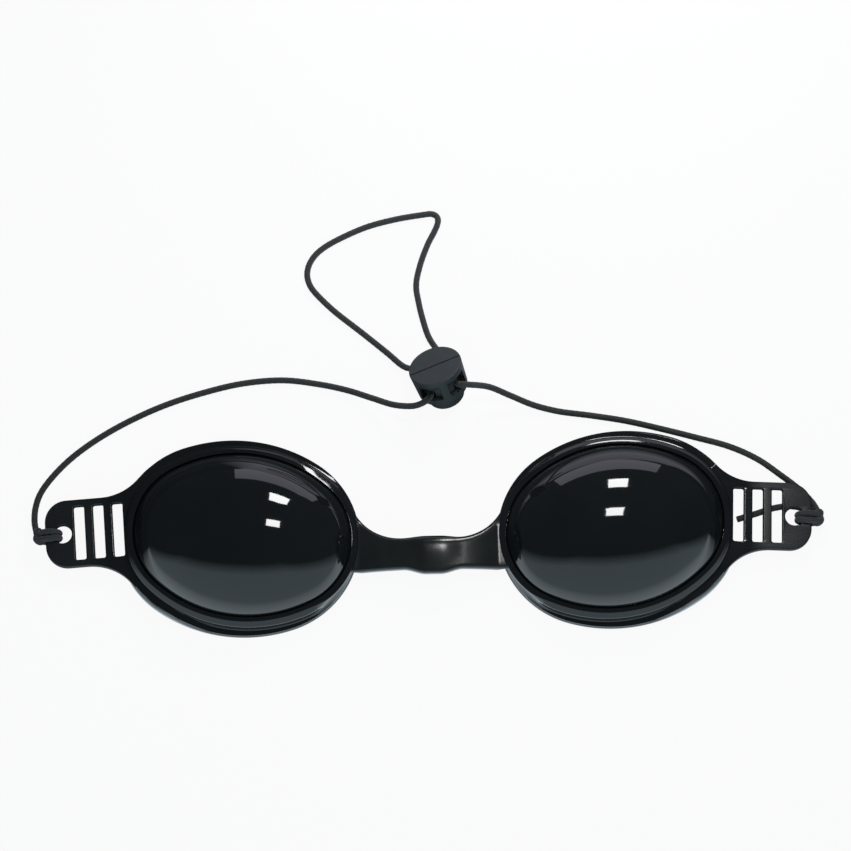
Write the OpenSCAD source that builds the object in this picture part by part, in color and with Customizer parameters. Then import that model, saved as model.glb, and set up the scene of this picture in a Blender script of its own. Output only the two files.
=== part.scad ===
// Opaque eye shields worn by a patient under intense light: two domed cups, a soft nose bridge,
// slotted strap tabs and an elastic cord with a spring lock. The shields lie face side down, Z is up.

/* [Cups] */
// Gap between the two flanges, over the nose
nose_gap = 31; // [26:0.5:36]
// Tilt of each cup, outer end up
cup_tilt = 8.5; // [0:0.5:14]
// Width of the flange round the dome's seat
flange_w = 3.7; // [3.2:0.1:5]
// Thickness of the flange at its edge
flange_t = 1.8; // [1.2:0.1:2.4]
// How far the dome sits nearer to the nose than the flange does
seat_shift = 1.3; // [0:0.1:2]
// Half length of the seat that holds the dome
seat_a = 23.8; // [22:0.1:25]
// Half width of the seat
seat_b = 19.1; // [18:0.1:20.5]
// Radius of the seat's rounded ends
seat_end_r = 16.2; // [14:0.2:17]
// Width of the ledge under the dome
ledge_w = 1.3; // [0.6:0.1:1.7]

/* [Collar] */
// Thickness of the collar wall
collar_t = 1.5; // [1.2:0.1:2]
// Height of the collar above the table
collar_h = 5; // [4.4:0.1:6]
// How much wider than the wall the rounded lip is, on the outside
lip_over = 0.25; // [0:0.05:0.5]
// Rounding of the lip's edge
lip_ease = 0.8; // [0.4:0.1:1.2]
// Width of the slope between collar and flange
foot_w = 2.4; // [1:0.1:4]
// Height of that slope on the collar
foot_h = 3.4; // [2.6:0.1:3.6]

/* [Dome] */
// Height of the dome's top above the table
dome_h = 16; // [13:0.5:20]
// Thickness of the dome's wall
dome_wall = 1.8; // [1.4:0.1:2.2]
// Height at which the curve of the dome starts
dome_z = 4.4; // [4:0.1:5]
// Fullness of the dome's curve, nearer to 1 is steeper at the edge
dome_full = 0.95; // [0.8:0.01:0.98]
// Gap between the dome and the collar
dome_fit = 0.08; // [0.05:0.01:0.15]

/* [Strap tab] */
// Distance from the flange's outer end to the cord hole
tab_reach = 12.6; // [12:0.1:16]
// Distance of the cord hole from the long axis
hole_y = 1.4; // [0:0.1:3]
// Droop of the tab, outer end down
tab_droop = 3.5; // [0:0.5:6]
// Width of the tab
tab_w = 15.7; // [14:0.1:18]
// Distance from the cord hole to the tip
tab_tip = 3.9; // [3.4:0.1:6]
// Radius of the tip's corners
tab_corner_r = 5; // [3:0.1:6]
// Radius of the hollow curves between tab and flange
tab_fillet_r = 13; // [8:0.5:16]
// Thickness of the tab
tab_t = 1.6; // [1.2:0.1:2]
// Height of the tab's underside above the table
tab_z = 1.7; // [1.6:0.05:2]
// Diameter of the cord hole
hole_d = 4.2; // [3:0.1:4.6]
// Number of strap slots in each tab
slot_n = 3; // [1:1:3]
// Distance from slot to slot
slot_pitch = 4.38; // [4:0.02:4.6]
// Width of a strap slot
slot_w = 2.4; // [1.6:0.1:2.8]
// Length of a strap slot
slot_l = 12.5; // [8:0.1:13]
// Distance from the cord hole to the nearest slot's middle
slot_first = 3.95; // [3.6:0.05:4.4]

/* [Nose bridge] */
// Distance of the bridge's top edge from the long axis
bridge_top = -2; // [-3:0.1:0]
// Distance of the bridge's bottom edge from the long axis
bridge_bottom = -9.3; // [-10:0.1:-7]
// Height of the flare at each end, above the long axis
bridge_flare = 4.6; // [2:0.1:6]
// Radius of the nose curve at each side
bridge_nose_r = 12; // [9:0.5:14]
// Distance from the middle of the object to the middle of that curve
bridge_nose_x = 5.9; // [4:0.1:9]
// Radius of the round pad in the middle
bridge_pad_r = 4.45; // [4:0.05:5.5]
// Distance of the pad's middle from the long axis
bridge_pad_y = -6; // [-7:0.1:-5]
// Thickness of the bridge
bridge_t = 2.4; // [1.8:0.1:3]
// How far the middle of the bridge arches up
bridge_rise = 2.4; // [1:0.1:4]
// Gap between the bridge and the rims
bridge_gap = 0.1; // [0.05:0.01:0.2]
// Length of the tongue at each end
tongue_l = 0.9; // [0.5:0.1:1.2]
// Width of that tongue
tongue_w = 8; // [5:0.5:9]
// Thickness of that tongue
tongue_t = 1.2; // [0.8:0.1:1.5]

/* [Cord] */
// Diameter of the elastic cord
cord_d = 1.4; // [1.2:0.05:1.5]

/* [Cord lock] */
// Outer diameter of the barrel
lock_d = 12.5; // [12:0.1:14]
// Height of the barrel
lock_h = 7.3; // [7:0.1:9]
// Thickness of the barrel's closed end
lock_cap_t = 1; // [0.8:0.1:1.4]
// Diameter of the bore in which the plunger slides
lock_bore_d = 9.5; // [9.2:0.1:10]
// Height of the ring that keeps the plunger in
lock_ring_h = 0.8; // [0.6:0.1:1]
// Height of the windows for the cord
window_h = 4; // [3.6:0.1:4.4]
// Thickness of the barrel between cap and windows
window_top = 0.5; // [0.4:0.1:0.8]
// Width of the post between the two windows
post_w = 1.8; // [1.2:0.1:2.4]
// Width across both windows
window_w = 10.6; // [9:0.1:11]
// Depth of the groove across the cap
cap_groove = 0.25; // [0.1:0.05:0.4]

/* [Plunger] */
// How far the plunger can be pressed in
press_travel = 2; // [1.5:0.1:2]
// Diameter of the button
button_d = 8.6; // [8:0.1:8.8]
// How far the button stands out of the barrel
button_out = 3.3; // [2.8:0.1:4]
// Rounding of the button's edge
button_round = 1.2; // [0.6:0.1:1.6]
// Gap between plunger and barrel
plunger_fit = 0.14; // [0.08:0.01:0.2]
// Distance of each cord from the middle of the lock
strand_x = 3.1; // [3:0.05:3.2]
// Gap between a cord and the plunger's hole
strand_gap = 0.2; // [0.1:0.05:0.25]
// Diameter of the spring's pocket
pocket_d = 3.9; // [3.6:0.1:4]
// Diameter of the spring's wire
wire_d = 0.4; // [0.3:0.05:0.5]
// Number of curls of the spring
spring_curls = 6; // [4:1:7]

/* [Hidden] */
shell_black = [0.055, 0.06, 0.065];
soft_black = [0.1, 0.11, 0.11];
cord_grey = [0.17, 0.18, 0.18];
lock_grey = [0.2, 0.23, 0.23];
steel = [0.7, 0.7, 0.7];
cut = 1;                       // how far a cutting shape runs past what it cuts
arc_fn = 96;
cord_r = cord_d / 2;
seat = [seat_a, seat_b, seat_end_r];
flange = grown(seat, flange_w);
cup_x = nose_gap / 2 + flange[0];
hole_x = cup_x + flange[0] + tab_reach;
tab_top = tab_z + tab_t;

// A four-arc oval is [half length, half width, end radius]; these give its flat arcs and its joints
function side_k(o) = ((o[0] - o[2]) ^ 2 - (o[1] - o[2]) ^ 2) / (2 * (o[1] - o[2]));
function side_r(o) = o[1] + side_k(o);
function joint_angle(o) = atan2(side_k(o), o[0] - o[2]);
function grown(o, d) = [o[0] + d, o[1] + d, o[2] + d];
// Point of an oval where its outline faces the direction t
function oval_pt(o, t) =
    let (b = joint_angle(o), c = cos(t), s = sin(t))
    abs(s) <= sin(b) ? [sign(c) * (o[0] - o[2]) + o[2] * c, o[2] * s]
                     : [side_r(o) * c, side_r(o) * s - sign(s) * side_k(o)];

module oval(o) {
    k = side_k(o);
    r = side_r(o);
    joint_x = r * cos(joint_angle(o));
    intersection() {
        translate([0, -k]) circle(r, $fn = arc_fn);
        translate([0, k]) circle(r, $fn = arc_fn);
        square([2 * joint_x, 2 * o[1] + cut], center = true);
    }
    for (side = [-1, 1]) translate([side * (o[0] - o[2]), 0]) circle(o[2], $fn = arc_fn);
}

module in_cup() translate([cup_x, 0, 0]) rotate(cup_tilt) children();
module in_seat() in_cup() translate([-seat_shift, 0, 0]) children();
module in_tab() translate([hole_x, hole_y, 0]) rotate(-tab_droop) children();
module on_side(side) mirror([side < 0 ? 1 : 0, 0, 0]) children();

// The flange's outer end circle, seen from the tab
end_mid = let (d = flange[0] - flange[2],
               p = [cup_x + d * cos(cup_tilt) - hole_x, d * sin(cup_tilt) - hole_y])
    [p[0] * cos(tab_droop) - p[1] * sin(tab_droop), p[0] * sin(tab_droop) + p[1] * cos(tab_droop)];
// Middle of the hollow curve above (1) or below (-1) the tab
function hollow_mid(side) =
    let (y = side * (tab_w / 2 + tab_fillet_r))
    [end_mid[0] + sqrt((flange[2] + tab_fillet_r) ^ 2 - (y - end_mid[1]) ^ 2), y];
// Where that curve touches the flange
function hollow_touch(side) =
    end_mid + (hollow_mid(side) - end_mid) * flange[2] / (flange[2] + tab_fillet_r);

// The web ends square where each hollow curve runs into the tab's straight edge
module tab_web() {
    difference() {
        polygon([end_mid, hollow_touch(1) + [0, 1], hollow_mid(1) - [0, tab_fillet_r - 1],
            [hollow_mid(1)[0], 0], [hollow_mid(-1)[0], 0],
            hollow_mid(-1) + [0, tab_fillet_r - 1], hollow_touch(-1) - [0, 1]]);
        for (side = [-1, 1]) translate(hollow_mid(side)) circle(tab_fillet_r, $fn = arc_fn);
    }
}

module tab_outline() {
    corner_x = tab_tip - tab_corner_r;
    corner_y = tab_w / 2 - tab_corner_r;
    tab_web();
    for (side = [-1, 1])
        translate([corner_x, side * corner_y]) circle(tab_corner_r, $fn = 64);
    translate([corner_x, -corner_y]) square([tab_corner_r, 2 * corner_y]);
    polygon([end_mid, [hollow_mid(1)[0], tab_w / 2], [corner_x, tab_w / 2],
        [corner_x, -tab_w / 2], [hollow_mid(-1)[0], -tab_w / 2]]);
}

// The slots are cut through tab and flange alike
module slots() {
    for (i = [0 : slot_n - 1])
        translate([-slot_first - i * slot_pitch, 0, tab_top / 2])
            cube([slot_w, slot_l, tab_top + 2 * cut], center = true);
}

// Oval plate from height z0 to z1
module slab(o, z0, z1) translate([0, 0, z0]) linear_extrude(z1 - z0) oval(o);

// Oval body whose edge follows points of [distance outside the oval, height], lowest first
module edged(o, edge) {
    k = side_k(o);
    joint_x = side_r(o) * cos(joint_angle(o));
    low = edge[0][1];
    high = edge[len(edge) - 1][1];
    module disc(r) rotate_extrude($fn = arc_fn)
        polygon(concat([[0, low]], [for (p = edge) [r + p[0], p[1]]], [[0, high]]));
    intersection() {
        translate([0, -k, 0]) disc(side_r(o));
        translate([0, k, 0]) disc(side_r(o));
        translate([-joint_x, -2 * o[1], low]) cube([2 * joint_x, 4 * o[1], high - low]);
    }
    for (side = [-1, 1]) translate([side * (o[0] - o[2]), 0, 0]) disc(o[2]);
}

// Quarter round of radius r below height z, in flats
function eased(x, z, r) = [for (t = [0 : 30 : 90]) [x - r + r * cos(t), z - r + r * sin(t)]];

// Collar wall with a lip, and the slope that carries it on the flange; room is left round it for the bridge
module collar(room) {
    lip = collar_t + lip_over;
    top = room > 0 ? [[lip, 2 * collar_h]] : eased(lip, collar_h, lip_ease);
    edged(grown(seat, room), concat([[lip + foot_w, flange_t / 2], [lip + foot_w, flange_t + 0.05],
        [collar_t, foot_h], [lip, foot_h + lip_over]], top));
}

module rim() {
    half = flange_t / 2;
    color(shell_black) difference() {
        union() {
            in_cup() edged(flange, concat([for (t = [-90 : 30 : -30]) [half * (cos(t) - 1), half * (1 + sin(t))]],
                eased(0, flange_t, half)));
            intersection() {
                in_seat() collar(0);
                in_cup() slab(grown(flange, -half / 2), 0, 2 * collar_h);
            }
            in_tab() translate([0, 0, tab_z]) linear_extrude(tab_t) tab_outline();
        }
        in_seat() {
            slab(seat, flange_t, 2 * collar_h);
            slab(grown(seat, -ledge_w), -cut, flange_t + cut);
        }
        in_tab() slots();
        in_tab() translate([0, 0, -cut]) cylinder(d = hole_d, h = tab_top + 2 * cut, $fn = 48);
        bridge_tongue(bridge_gap);
    }
}

// The dome is one closed shell: rings of points run from the inner top, down the wall and up to the outer top
dome_cols = 60;
dome_rows = 9;
function dome_rise(s) = (sqrt(1 - (dome_full * s) ^ 2) - sqrt(1 - dome_full ^ 2)) / (1 - sqrt(1 - dome_full ^ 2));
function dome_ring(o, s, z) = [for (i = [0 : dome_cols - 1])
    let (p = oval_pt(o, (i + 0.5) * 360 / dome_cols)) [s * p[0], s * p[1], z]];

module dome() {
    outer = grown(seat, -dome_fit);
    inner = grown(outer, -dome_wall);
    foot_z = flange_t + dome_fit;
    rise = dome_h - dome_z;
    inner_steps = [for (i = [1 : dome_rows]) sin(90 * i / dome_rows)];
    outer_steps = [for (i = [dome_rows : -1 : 1]) sin(90 * i / dome_rows)];
    rings = [
        for (s = inner_steps) dome_ring(inner, s, dome_z + (rise - dome_wall) * dome_rise(s)),
        dome_ring(inner, 1, foot_z),
        dome_ring(outer, 1, foot_z),
        for (s = outer_steps) dome_ring(outer, s, dome_z + rise * dome_rise(s))];
    points = concat([[0, 0, dome_h - dome_wall]], [for (r = rings) each r], [[0, 0, dome_h]]);
    last = len(points) - 1;
    top_start = last - dome_cols;
    faces = [
        for (i = [0 : dome_cols - 1]) let (j = (i + 1) % dome_cols) each concat(
            [[0, 1 + j, 1 + i]],
            [for (k = [0 : len(rings) - 2]) let (a = 1 + k * dome_cols, b = a + dome_cols)
                each [[a + i, a + j, b + j], [a + i, b + j, b + i]]],
            [[last, top_start + i, top_start + j]])];
    color(shell_black) in_seat() polyhedron(points, faces);
}

// The bridge rests on the flanges and arches over the nose; its tongues sit in the collars
bridge_z = flange_t + bridge_gap;
bridge_end = cup_x - seat_shift - seat_a - collar_t + 3;
arch_half = nose_gap / 2;
arch_r = (arch_half ^ 2 + bridge_rise ^ 2) / (2 * bridge_rise);

module bridge_tongue(gap) {
    translate([cup_x - seat_shift - seat_a - collar_t, (bridge_top + bridge_bottom) / 2, bridge_z + bridge_t / 2])
        cube([2 * (tongue_l + gap), tongue_w + 2 * gap, tongue_t + 2 * gap], center = true);
}

module bridge_outline() {
    translate([-bridge_end, bridge_bottom]) square([2 * bridge_end, bridge_top - bridge_bottom]);
    translate([0, bridge_pad_y]) circle(bridge_pad_r, $fn = 64);
    for (side = [-1, 1]) on_side(side) difference() {
        translate([bridge_nose_x, bridge_bottom])
            square([bridge_end - bridge_nose_x, bridge_flare - bridge_bottom]);
        translate([bridge_nose_x, bridge_top + bridge_nose_r]) circle(bridge_nose_r, $fn = arc_fn);
    }
}

module bridge_arch() {
    mid_z = bridge_z + bridge_rise - arch_r;
    span = 2 * arch_half;
    intersection() {
        difference() {
            translate([0, mid_z]) circle(arch_r + bridge_t, $fn = 2 * arc_fn);
            translate([0, mid_z]) circle(arch_r, $fn = 2 * arc_fn);
        }
        translate([-span / 2, bridge_z]) square([span, bridge_rise + bridge_t]);
    }
    for (side = [-1, 1]) translate([side * (arch_half + bridge_end) / 2, bridge_z + bridge_t / 2])
        square([bridge_end - arch_half + 0.02, bridge_t], center = true);
}

module nose_bridge() {
    color(soft_black) {
        difference() {
            intersection() {
                linear_extrude(collar_h + bridge_rise + bridge_t) bridge_outline();
                rotate([90, 0, 0]) translate([0, 0, -2 * tab_w]) linear_extrude(4 * tab_w) bridge_arch();
            }
            for (side = [-1, 1]) on_side(side) in_seat() collar(bridge_gap);
        }
        for (side = [-1, 1]) on_side(side) bridge_tongue(0);
    }
}

// A cord is a tube through hand-chosen points
function unit(v) = v / norm(v);
function along(p, i) = unit(p[min(i + 1, len(p) - 1)] - p[max(i - 1, 0)]);
// Carries one side direction along the path, so that the tube doesn't twist
function carried(p, i, u) = let (t = along(p, i), v = unit(u - (u * t) * t))
    i == len(p) - 1 ? [v] : concat([v], carried(p, i + 1, v));

module tube(p, r, sides, start) {
    u = carried(p, 0, start);
    ring = [for (i = [0 : len(p) - 1]) let (w = cross(along(p, i), u[i]))
        each [for (k = [0 : sides - 1]) let (t = 360 * (k + 0.5) / sides) p[i] + r * (cos(t) * u[i] + sin(t) * w)]];
    last = (len(p) - 1) * sides;
    faces = concat(
        [[for (k = [0 : sides - 1]) k]],
        [[for (k = [0 : sides - 1]) last + sides - 1 - k]],
        [for (i = [0 : len(p) - 2], k = [0 : sides - 1])
            let (a = i * sides + k, b = i * sides + (k + 1) % sides)
            each [[a, a + sides, b + sides], [a, b + sides, b]]]);
    polyhedron(ring, faces);
}

// The lock stands on its button, leaning on its cords
lock_at = [5.1, 31.9, 1.9];
lock_turn = 29;
lock_lean = 33;
lock_spin = -11;
function about_z(p, a) = [p[0] * cos(a) - p[1] * sin(a), p[0] * sin(a) + p[1] * cos(a), p[2]];
function about_x(p, a) = [p[0], p[1] * cos(a) - p[2] * sin(a), p[1] * sin(a) + p[2] * cos(a)];
function lock_pt(p) = lock_at + about_z(about_x(about_z(p, lock_spin), -lock_lean), lock_turn);
module in_lock() translate(lock_at) rotate(lock_turn) rotate([-lock_lean, 0, 0]) rotate(lock_spin) children();

// Heights inside the lock, from the end of the button
lock_top = button_out + lock_h;
lock_in = lock_top - lock_cap_t;
window_z = lock_in - window_top - window_h;
strand_z = window_z + strand_gap + cord_r;
eye_h = cord_d + 2 * strand_gap + press_travel;
eye_z = strand_z + cord_r + strand_gap - eye_h;
plunger_top = lock_in - press_travel - 0.15;
shoulder_z = button_out + lock_ring_h + 0.05;
pocket_z = window_z - 2.2;

module lock_barrel() {
    color(lock_grey) in_lock() difference() {
        translate([0, 0, button_out]) union() {
            cylinder(d1 = lock_d - 0.9, d2 = lock_d, h = lock_h - 0.3, $fn = arc_fn);
            translate([0, 0, lock_h - 0.3]) cylinder(d1 = lock_d, d2 = lock_d - 0.6, h = 0.3, $fn = arc_fn);
        }
        translate([0, 0, button_out - cut]) cylinder(d = button_d + 2 * plunger_fit, h = lock_h, $fn = arc_fn);
        translate([0, 0, button_out + lock_ring_h])
            cylinder(d = lock_bore_d, h = lock_in - button_out - lock_ring_h, $fn = arc_fn);
        for (side = [-1, 1])
            translate([side * (window_w + post_w) / 4, 0, window_z + window_h / 2])
                cube([(window_w - post_w) / 2, 2 * lock_d, window_h], center = true);
        translate([0, 0, lock_top]) cube([lock_d + cut, 0.35, 2 * cap_groove], center = true);
    }
}

module lock_plunger() {
    eye_w = cord_d + 2 * strand_gap - 0.1;
    color(lock_grey) in_lock() difference() {
        union() {
            translate([0, 0, button_round])
                cylinder(d = button_d, h = shoulder_z - button_round + 0.2, $fn = arc_fn);
            rotate_extrude($fn = arc_fn) {
                square([button_d / 2 - button_round, button_round + 0.01]);
                translate([button_d / 2 - button_round, button_round]) intersection() {
                    circle(button_round, $fn = 48);
                    translate([-button_round, -button_round]) square([2 * button_round, button_round + 0.01]);
                }
            }
            translate([0, 0, shoulder_z])
                cylinder(d = lock_bore_d - 2 * plunger_fit, h = plunger_top - shoulder_z, $fn = arc_fn);
        }
        for (side = [-1, 1]) translate([side * strand_x, 0, eye_z + eye_h / 2])
            cube([eye_w, 2 * lock_d, eye_h], center = true);
        translate([0, 0, pocket_z]) cylinder(d = pocket_d, h = lock_top, $fn = 48);
    }
}

spring_r = (pocket_d - wire_d) / 2 - 0.1;
spring_len = lock_in - pocket_z - wire_d - 0.2;
spring_path = [for (i = [0 : 8 * spring_curls])
    let (t = 45 * i)
    [spring_r * cos(t), spring_r * sin(t), pocket_z + 0.1 + wire_d / 2 + spring_len * i / (8 * spring_curls)]];
echo(spring_least_gap = min([for (i = [0 : len(spring_path) - 9]) norm(spring_path[i + 8] - spring_path[i])]) - wire_d);

module lock_spring() color(steel) in_lock() tube(spring_path, wire_d / 2, 6, [1, 0, 0]);

// Routes of the cord on the table, in millimetres; the points at a tab are measured from its cord hole
table_z = 0.73;
function at_hole(side, list) = [for (p = list) [side * hole_x + p[0], p[1], p[2]]];
left_route = concat(
    at_hole(-1, [[-6.1, 2.4, 2.4], [-6.6, 5, 1.7], [-6.5, 8.4, 0.9], [-5.3, 12, table_z],
        [-2.3, 16.1, table_z], [2.1, 20.4, table_z]]),
    [[-75, 24.7, table_z], [-68, 28.6, table_z], [-60, 32.1, table_z], [-51.4, 34.8, table_z],
    [-42.4, 36.8, table_z], [-33.2, 37.4, table_z], [-25, 36.3, table_z], [-18.2, 34.5, 1.3],
    [-12.4, 32, 2.8], [-7.4, 29.6, 5], [-3, 28.4, 7.6]]);
loop_route = [[-4.6, 39.6, 1.7], [-8.6, 43.4, table_z], [-14.4, 48.5, table_z], [-20.6, 53.8, table_z],
    [-24.9, 58.3, table_z], [-26.5, 60.9, table_z], [-26.9, 63.6, table_z], [-26, 66.4, table_z],
    [-23.8, 69, table_z], [-19.8, 71.5, table_z], [-13, 74.5, table_z], [-6, 76.3, table_z],
    [0.6, 77.3, table_z], [2.6, 77.4, table_z], [3.8, 76.6, table_z], [3.9, 75.1, table_z],
    [3, 72.9, table_z], [1.4, 69.8, table_z], [-0.4, 65, table_z], [-1.5, 60, table_z],
    [-1, 55.4, table_z], [0, 50.7, table_z], [1.2, 46.8, 0.9], [3.2, 43.1, 2.3]];
right_route = concat(
    [[14.6, 33, 6], [19.6, 31.6, 3.2], [25, 29.7, 1.4], [31, 28.2, table_z], [38, 27.1, table_z],
    [46, 25.6, table_z], [54, 23.5, table_z], [62, 21.2, table_z], [69.4, 18.9, table_z]],
    at_hole(1, [[-7.5, 15.8, table_z], [-2.4, 11.9, table_z], [1.8, 8.3, table_z],
        [4.5, 5.1, 0.95], [5.7, 2.3, 1.9]]));
tail_route = at_hole(1, [[5.8, 2, 1.6], [4.5, 3.1, 0.85], [2.5, 3.8, 0.78], [-0.7, 4.4, table_z],
    [-4.5, 4, table_z], [-8.5, 2.8, table_z], [-12.2, 1.8, table_z]]);
// Route through the lock, in the lock's own frame
front_bend = [[strand_x, -2.4], [strand_x + 0.6, -4.1], [strand_x + 2.2, -5.1]];
left_in_lock = [for (p = [front_bend[2], front_bend[1], front_bend[0], [strand_x, 2.6]])
    lock_pt([-p[0], p[1], strand_z])];
right_in_lock = [for (p = [[strand_x, 2.6], front_bend[0], front_bend[1], front_bend[2]])
    lock_pt([p[0], p[1], strand_z])];
loop_from = [for (y = [2.6, 5.4]) lock_pt([-strand_x, y, strand_z])];
loop_to = [for (y = [5.4, 2.6]) lock_pt([strand_x, y, strand_z])];

module cord_left() color(cord_grey) tube(concat(left_route, left_in_lock), cord_r, 8, [0, 0, 1]);
module cord_loop() color(cord_grey) tube(concat(loop_from, loop_route, loop_to), cord_r, 8, [0, 0, 1]);
module cord_right() color(cord_grey) tube(concat(right_in_lock, right_route), cord_r, 8, [0, 0, 1]);
module cord_tail() color(cord_grey) tube(tail_route, cord_r, 8, [0, 0, 1]);

// The cord goes through the hole, back under the tab and into a knot just past the tip
knot_x = tab_tip + 1.9;
knot_z = tab_z + tab_t / 2 - 0.1;
over_z = tab_top + cord_r + 0.05;
under_z = tab_z - cord_r - 0.05;
knot_loop = [[knot_x, -0.5, knot_z + 0.7], [tab_tip, -0.5, over_z], [2.2, -0.4, over_z],
    [1, -0.2, over_z - 0.7], [0.8, 0, knot_z], [1, 0.2, under_z + 0.7], [2.2, 0.4, under_z],
    [tab_tip, 0.5, under_z], [knot_x, 0.5, knot_z - 0.7]];

module knot() {
    color(cord_grey) in_tab() {
        tube(knot_loop, cord_r, 8, [0, 1, 0]);
        for (turn = [0, 1])
            translate([knot_x + turn * 1.2, 0, knot_z]) rotate([0, 90, turn * 25])
                rotate_extrude($fn = 48) translate([0.95, 0]) circle(cord_r, $fn = 24);
    }
}

on_side(-1) rim();  // rim_left
on_side(1) rim();  // rim_right
on_side(-1) dome();  // dome_left
on_side(1) dome();  // dome_right
nose_bridge();
on_side(-1) knot();  // knot_left
on_side(1) knot();  // knot_right
cord_left();
cord_loop();
cord_right();
cord_tail();
lock_barrel();
lock_plunger();
lock_spring();
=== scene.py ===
import math

import bpy
from mathutils import Matrix, Quaternion, Vector


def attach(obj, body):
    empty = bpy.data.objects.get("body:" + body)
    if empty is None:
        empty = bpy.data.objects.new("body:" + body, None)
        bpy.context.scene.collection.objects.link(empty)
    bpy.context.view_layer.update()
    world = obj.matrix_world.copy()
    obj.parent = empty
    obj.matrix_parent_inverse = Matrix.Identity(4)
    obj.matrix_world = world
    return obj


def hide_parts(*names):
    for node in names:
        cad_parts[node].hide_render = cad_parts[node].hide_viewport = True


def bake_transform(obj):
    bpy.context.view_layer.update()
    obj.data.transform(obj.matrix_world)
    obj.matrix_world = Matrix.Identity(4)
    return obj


mm = 0.001

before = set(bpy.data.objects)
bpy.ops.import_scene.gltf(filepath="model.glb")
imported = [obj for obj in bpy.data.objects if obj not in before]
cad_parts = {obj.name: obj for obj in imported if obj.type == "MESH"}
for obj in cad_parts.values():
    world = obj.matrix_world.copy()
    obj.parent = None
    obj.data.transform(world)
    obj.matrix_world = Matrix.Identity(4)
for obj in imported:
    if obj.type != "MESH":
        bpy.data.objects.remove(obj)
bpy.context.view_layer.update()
bpy.ops.object.select_all(action="DESELECT")
print("frame loaded:", len(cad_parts), "nodes")


def addObject(name, data):
    made = bpy.data.objects.new(name, data)
    bpy.context.scene.collection.objects.link(made)
    return made


# Places a camera or lamp: where it stands, what it faces, and its roll in degrees
def pointAt(piece, at, aim, roll):
    piece.location = at
    piece.rotation_mode = "QUATERNION"
    piece.rotation_quaternion = ((Vector(aim) - Vector(at)).to_track_quat("-Z", "Y")
                                 @ Quaternion((0, 0, 1), math.radians(roll)))


# Camera: nearly overhead, leaning a little from the front, as the photograph was taken
viewSettings = {
    "elevation": 76.0,          # degrees above the table
    "distance": 648 * mm,
    "aim": (-0.13 * mm, 25.9 * mm, 0.0),
    "roll": -1.44,
    "lens": 120.2,
}

cameraData = bpy.data.cameras.new("photoCamera")
cameraData.lens = viewSettings["lens"]
cameraData.sensor_width = 36
cameraData.clip_end = 20
camera = addObject("photoCamera", cameraData)
rise = math.radians(viewSettings["elevation"])
pointAt(camera, Vector((0, -math.cos(rise), math.sin(rise))) * viewSettings["distance"], viewSettings["aim"],
        viewSettings["roll"])
bpy.context.scene.camera = camera
bpy.context.scene.view_settings.view_transform = "Standard"


# Shader maths: a wrapped socket, so that patterns read as expressions
class Link:
    def __init__(self, tree, socket):
        self.tree = tree
        self.socket = socket

    def maths(self, operation, first, second):
        step = self.tree.nodes.new("ShaderNodeMath")
        step.operation = operation
        for slot, value in zip(step.inputs, (first, second)):
            if isinstance(value, Link):
                self.tree.links.new(value.socket, slot)
            else:
                slot.default_value = value
        return Link(self.tree, step.outputs[0])

    def clamped(self):
        low = self.maths("MAXIMUM", self, 0.0)
        return low.maths("MINIMUM", low, 1.0)

    def __add__(self, other): return self.maths("ADD", self, other)
    def __sub__(self, other): return self.maths("SUBTRACT", self, other)
    def __rsub__(self, other): return self.maths("SUBTRACT", other, self)
    def __mul__(self, other): return self.maths("MULTIPLY", self, other)
    def __rtruediv__(self, other): return self.maths("DIVIDE", other, self)


class Finish:
    def __init__(self, name, **settings):
        self.material = bpy.data.materials.new(name)
        self.material.use_nodes = True
        self.tree = self.material.node_tree
        self.shader = self.tree.nodes["Principled BSDF"]
        for socket, value in settings.items():
            self.shader.inputs[socket.replace("_", " ")].default_value = value

    # Any node: its kind, what is set on it first, and the values or links of its sockets
    def node(self, kind, settings=None, output=0, **values):
        made = self.tree.nodes.new("ShaderNode" + kind)
        for key, value in (settings or {}).items():
            if key == "stops":
                for stop, (place, shade) in zip(made.color_ramp.elements, value):
                    stop.position = place
                    stop.color = (shade, shade, shade, 1)
            else:
                setattr(made, key, value)
        for key, value in values.items():
            socket = made.inputs[key.replace("_", " ")]
            if isinstance(value, Link):
                self.tree.links.new(value.socket, socket)
            else:
                socket.default_value = value
        return Link(self.tree, made.outputs[output])

    def feed(self, socket, value):
        self.tree.links.new(value.socket, self.shader.inputs[socket])

    def place(self, kind="Object"):
        return self.node("TexCoord", output=kind)

    def axis(self, place, letter):
        return self.node("SeparateXYZ", output=letter, Vector=place)

    def mixed(self, share, first, second):
        made = self.node("MixShader", Fac=share)
        for slot, value in zip(list(made.socket.node.inputs)[1:], (first, second)):
            self.tree.links.new(value.socket, slot)
        return made

    def relief(self, height, strength, depth):
        self.feed("Normal", self.node("Bump", Strength=strength, Distance=depth, Height=height))


# Gloss black moulded shell: faint waves in the gloss, dust and hairline rubbing
def shellFinish():
    made = Finish("shellGloss", Roughness=0.06, IOR=1.5)
    place = made.place()
    cloud = made.node("TexNoise", Vector=place, Scale=90.0, Detail=3.0)
    hair = made.node("TexNoise", Vector=made.node("Mapping", Vector=place, Rotation=(0, 0, 0.6), Scale=(1, 26, 1)),
                     Scale=160.0, Detail=2.0)
    dust = made.node("TexVoronoi", Vector=place, Scale=900.0)
    speck = made.node("ValToRGB", {"stops": ((0.0, 1.0), (0.09, 0.0))}, Fac=dust)
    made.feed("Base Color", made.node("MixRGB", Fac=cloud * 0.5 + speck * 0.25,
                                      Color1=(0.006, 0.0075, 0.008, 1), Color2=(0.017, 0.02, 0.022, 1)))
    made.feed("Roughness", cloud * 0.03 + hair * 0.03 + 0.015)
    made.relief(made.node("TexNoise", Vector=place, Scale=55.0, Detail=1.0), 0.12, 0.00006)
    return made.material


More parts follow.
